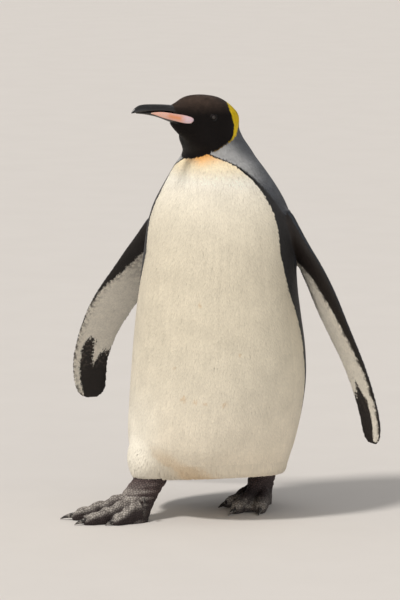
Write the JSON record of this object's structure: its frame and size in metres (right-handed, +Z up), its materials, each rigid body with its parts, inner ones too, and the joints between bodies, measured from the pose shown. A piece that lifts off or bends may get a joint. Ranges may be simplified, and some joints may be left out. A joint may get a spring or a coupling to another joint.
{
  "type": "king penguin",
  "caption": "Life-size still model of an adult king penguin in mid-stride, flippers held out and head turned to its right.",
  "frame": {"origin": "on the ground, under the middle of the whole bird's bounding box", "axes": "+Z up, -Y the way the breast faces, +X to the bird's left"},
  "size_m": [0.6718, 0.4442, 0.8145],
  "materials": {
    "head_feathers": "short dense black-brown feathers, matt with a soft sheen",
    "neck_feathers": "short silver-grey feathers",
    "body_feathers": "dense short feathers, cream-white in front and slate grey behind",
    "tail_feathers": "stiff black-brown feathers",
    "flipper_feathers": "scale-like feathers, slate grey outside and cream inside",
    "foot_skin": "scaly dark skin, dusty",
    "claw_horn": "dark horn",
    "eye": "wet dark brown",
    "bill_horn": "black horn, satin",
    "bill_plate": "smooth waxy horn, salmon-pink to orange to lilac"
  },
  "bodies": {
    "root": {"head": "head_feathers", "neck": "neck_feathers", "eye_left": "eye", "eye_right": "eye", "bill_upper": "bill_horn", "bill_lower": "bill_horn", "bill_plate_left": "bill_plate", "bill_plate_right": "bill_plate", "trunk": "body_feathers", "tail": "tail_feathers", "flipper_left": "flipper_feathers", "flipper_right": "flipper_feathers", "leg_right": "body_feathers", "foot_right": "foot_skin", "claw_right_inner": "claw_horn", "claw_right_middle": "claw_horn", "claw_right_outer": "claw_horn", "claw_right_hind": "claw_horn", "leg_left": "body_feathers", "foot_left": "foot_skin", "claw_left_inner": "claw_horn", "claw_left_middle": "claw_horn", "claw_left_outer": "claw_horn", "claw_left_hind": "claw_horn"}
  },
  "joints": []
}
